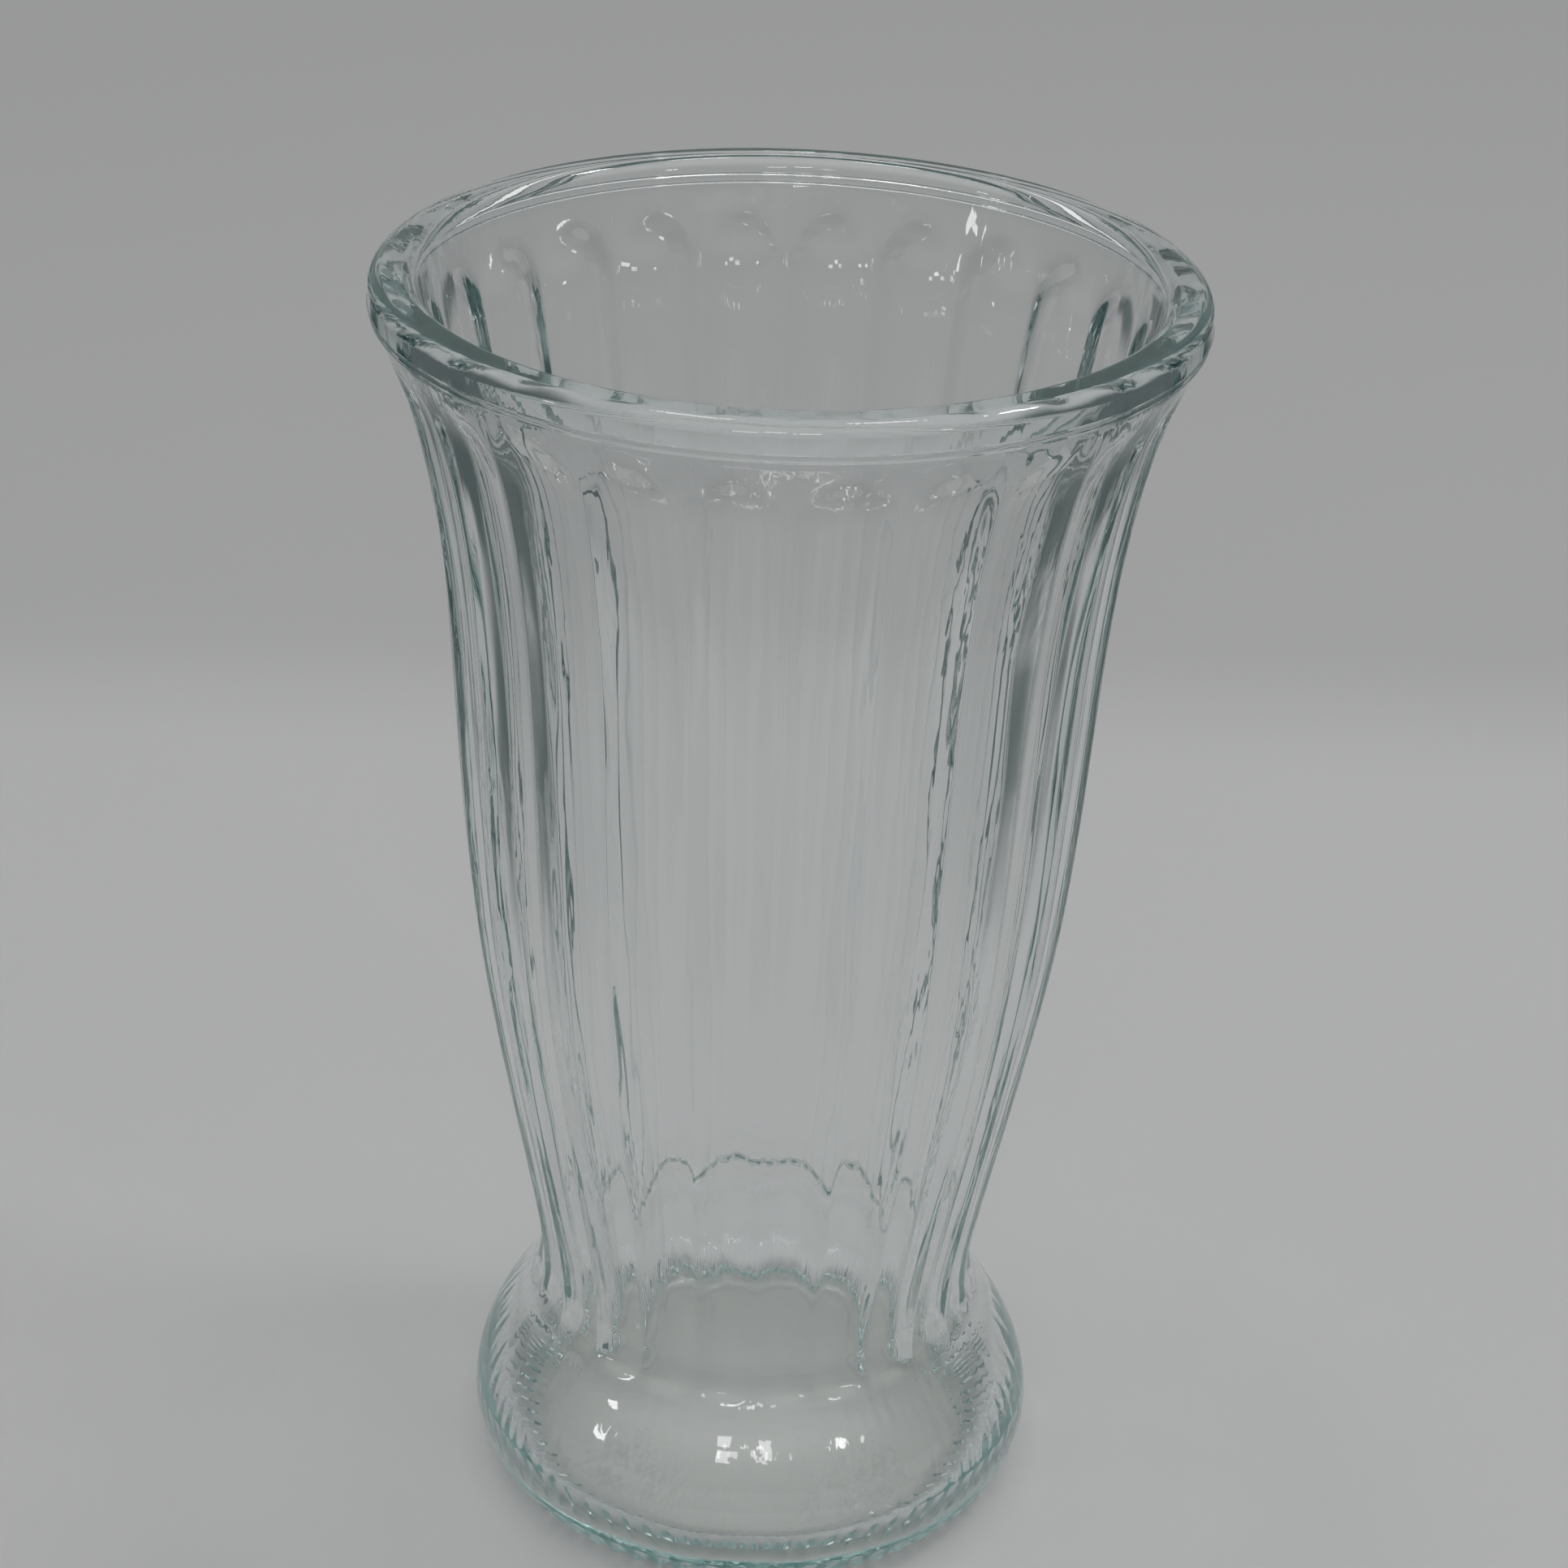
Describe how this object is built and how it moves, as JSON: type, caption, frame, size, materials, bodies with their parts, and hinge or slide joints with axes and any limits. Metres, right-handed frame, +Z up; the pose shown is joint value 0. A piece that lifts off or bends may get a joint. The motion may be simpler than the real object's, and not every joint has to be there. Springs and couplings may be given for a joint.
{
  "type": "flower vase",
  "caption": "Round flared flower vase of clear glass with hollow vertical flutes, a thick rim band, a narrow waist and a bulbous hollow foot on a flat bearing ring.",
  "frame": {"origin": "centre of the bearing ring, on the surface that the vase stands on", "axes": "+Z up along the axis of the vase, +X and +Y through ridges between flutes"},
  "size_m": [0.125, 0.125, 0.212],
  "materials": {
    "clear_glass": "clear soda-lime glass with a faint blue-green tint, fire-polished"
  },
  "bodies": {
    "root": {"vase": "clear_glass"}
  },
  "joints": []
}
